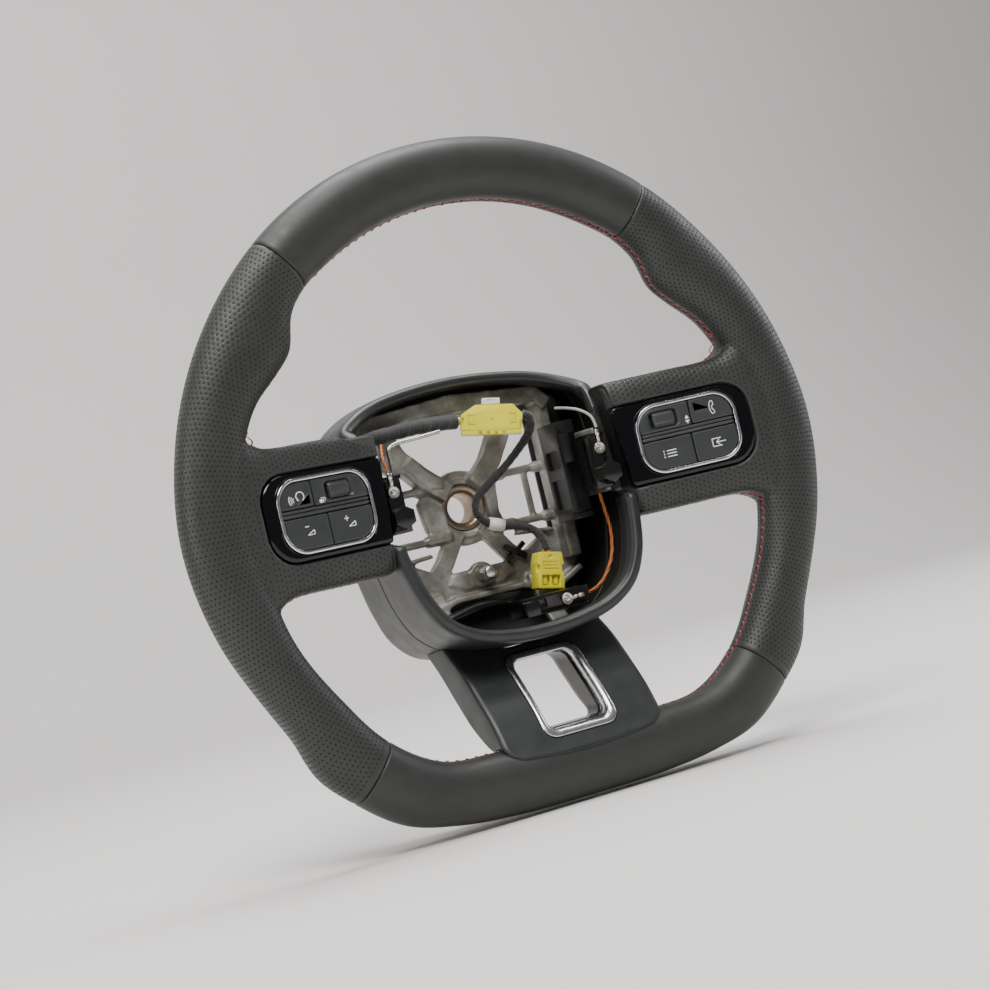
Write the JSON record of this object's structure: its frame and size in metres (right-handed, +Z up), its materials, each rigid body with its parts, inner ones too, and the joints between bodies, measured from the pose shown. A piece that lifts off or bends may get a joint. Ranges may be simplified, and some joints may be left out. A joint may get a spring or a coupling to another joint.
{
  "type": "steering wheel",
  "caption": "Flat-bottomed leather steering wheel with switch pads, open hub pocket for an airbag module, wiring and a splined column boss.",
  "frame": {"origin": "on the steering column's axis, at the back face of the hub boss", "axes": "+Y along the column away from the driver, +X to the driver's right, +Z up with the wheel straight ahead"},
  "size_m": [0.3614, 0.1102, 0.3478],
  "materials": {
    "leather": "charcoal grained leather, satin",
    "leather_perforated": "charcoal perforated leather, satin",
    "foam": "self-skinned polyurethane foam",
    "satin_plastic": "fine-grained satin dark green-grey plastic",
    "black_plastic": "matt black plastic",
    "gloss_black": "piano black",
    "chrome_trim": "satin chrome",
    "key_plastic": "soft-touch dark grey plastic",
    "casting": "as-cast light alloy, slightly oxidised",
    "steel": "zinc-plated steel",
    "connector_yellow": "moulded yellow plastic",
    "white_plastic": "moulded white plastic",
    "cloth_tape": "black woven harness tape",
    "wire_orange": "orange wire insulation"
  },
  "bodies": {
    "wheel": {"armature": "casting", "spline_insert": "steel", "locating_stud": "steel", "rim_foam": "foam", "leather_top": "leather", "leather_bottom": "leather", "leather_grip_left": "leather_perforated", "leather_grip_right": "leather_perforated", "hub_bezel": "satin_plastic", "rear_cover": "satin_plastic", "cover_screw_1": "steel", "cover_screw_2": "steel", "cover_screw_3": "steel", "cover_screw_4": "steel", "lower_spoke_cover": "satin_plastic", "lower_spoke_back": "black_plastic", "lower_spoke_trim_ring": "chrome_trim", "switch_bezel_left": "gloss_black", "switch_ring_left": "chrome_trim", "switch_housing_left": "black_plastic", "roller_panel_left": "key_plastic", "switch_bezel_right": "gloss_black", "switch_ring_right": "chrome_trim", "switch_housing_right": "black_plastic", "roller_panel_right": "key_plastic", "horn_contact_left": "black_plastic", "ring_terminal_left": "steel", "horn_contact_right": "black_plastic", "ring_terminal_right": "steel", "horn_contact_bottom": "black_plastic", "ring_terminal_bottom": "steel", "airbag_spring_wire": "steel", "upper_connector": "connector_yellow", "connector_lock": "white_plastic", "lower_connector": "connector_yellow", "harness_sleeve": "cloth_tape", "harness_lead": "cloth_tape", "harness_label": "white_plastic", "wire_guide_box": "black_plastic", "cross_clip": "black_plastic", "wire_left": "wire_orange", "wire_right": "wire_orange", "wire_bottom": "wire_orange"},
    "voice_key": {"voice_key": "key_plastic"},
    "volume_down_key": {"volume_down_key": "key_plastic"},
    "volume_up_key": {"volume_up_key": "key_plastic"},
    "roller_left": {"roller_left": "key_plastic"},
    "phone_key": {"phone_key": "key_plastic"},
    "menu_key": {"menu_key": "key_plastic"},
    "source_key": {"source_key": "key_plastic"},
    "roller_right": {"roller_right": "key_plastic"}
  },
  "joints": [
    {"name": "voice_key_press", "type": "slide", "parent": "wheel", "child": "voice_key", "axis": [-0.2487, 0.9686, 0], "range_m": [0, 0.0008], "stiffness_N_per_m": 2500, "springref_m": -0.0006},
    {"name": "volume_down_key_press", "type": "slide", "parent": "wheel", "child": "volume_down_key", "axis": [-0.2487, 0.9686, 0], "range_m": [0, 0.0008], "stiffness_N_per_m": 2500, "springref_m": -0.0006},
    {"name": "volume_up_key_press", "type": "slide", "parent": "wheel", "child": "volume_up_key", "axis": [-0.2487, 0.9686, 0], "range_m": [0, 0.0008], "stiffness_N_per_m": 2500, "springref_m": -0.0006},
    {"name": "roller_left_turn", "type": "hinge", "parent": "wheel", "child": "roller_left", "pos_m": [-0.09739, -0.09071, 0.0205], "axis": [0.9686, 0.2487, 0], "continuous": true},
    {"name": "phone_key_press", "type": "slide", "parent": "wheel", "child": "phone_key", "axis": [0.2487, 0.9686, 0], "range_m": [0, 0.0008], "stiffness_N_per_m": 2500, "springref_m": -0.0006},
    {"name": "menu_key_press", "type": "slide", "parent": "wheel", "child": "menu_key", "axis": [0.2487, 0.9686, 0], "range_m": [0, 0.0008], "stiffness_N_per_m": 2500, "springref_m": -0.0006},
    {"name": "source_key_press", "type": "slide", "parent": "wheel", "child": "source_key", "axis": [0.2487, 0.9686, 0], "range_m": [0, 0.0008], "stiffness_N_per_m": 2500, "springref_m": -0.0006},
    {"name": "roller_right_turn", "type": "hinge", "parent": "wheel", "child": "roller_right", "pos_m": [0.09497, -0.09008, 0.0205], "axis": [0.9686, -0.2487, 0], "continuous": true}
  ]
}
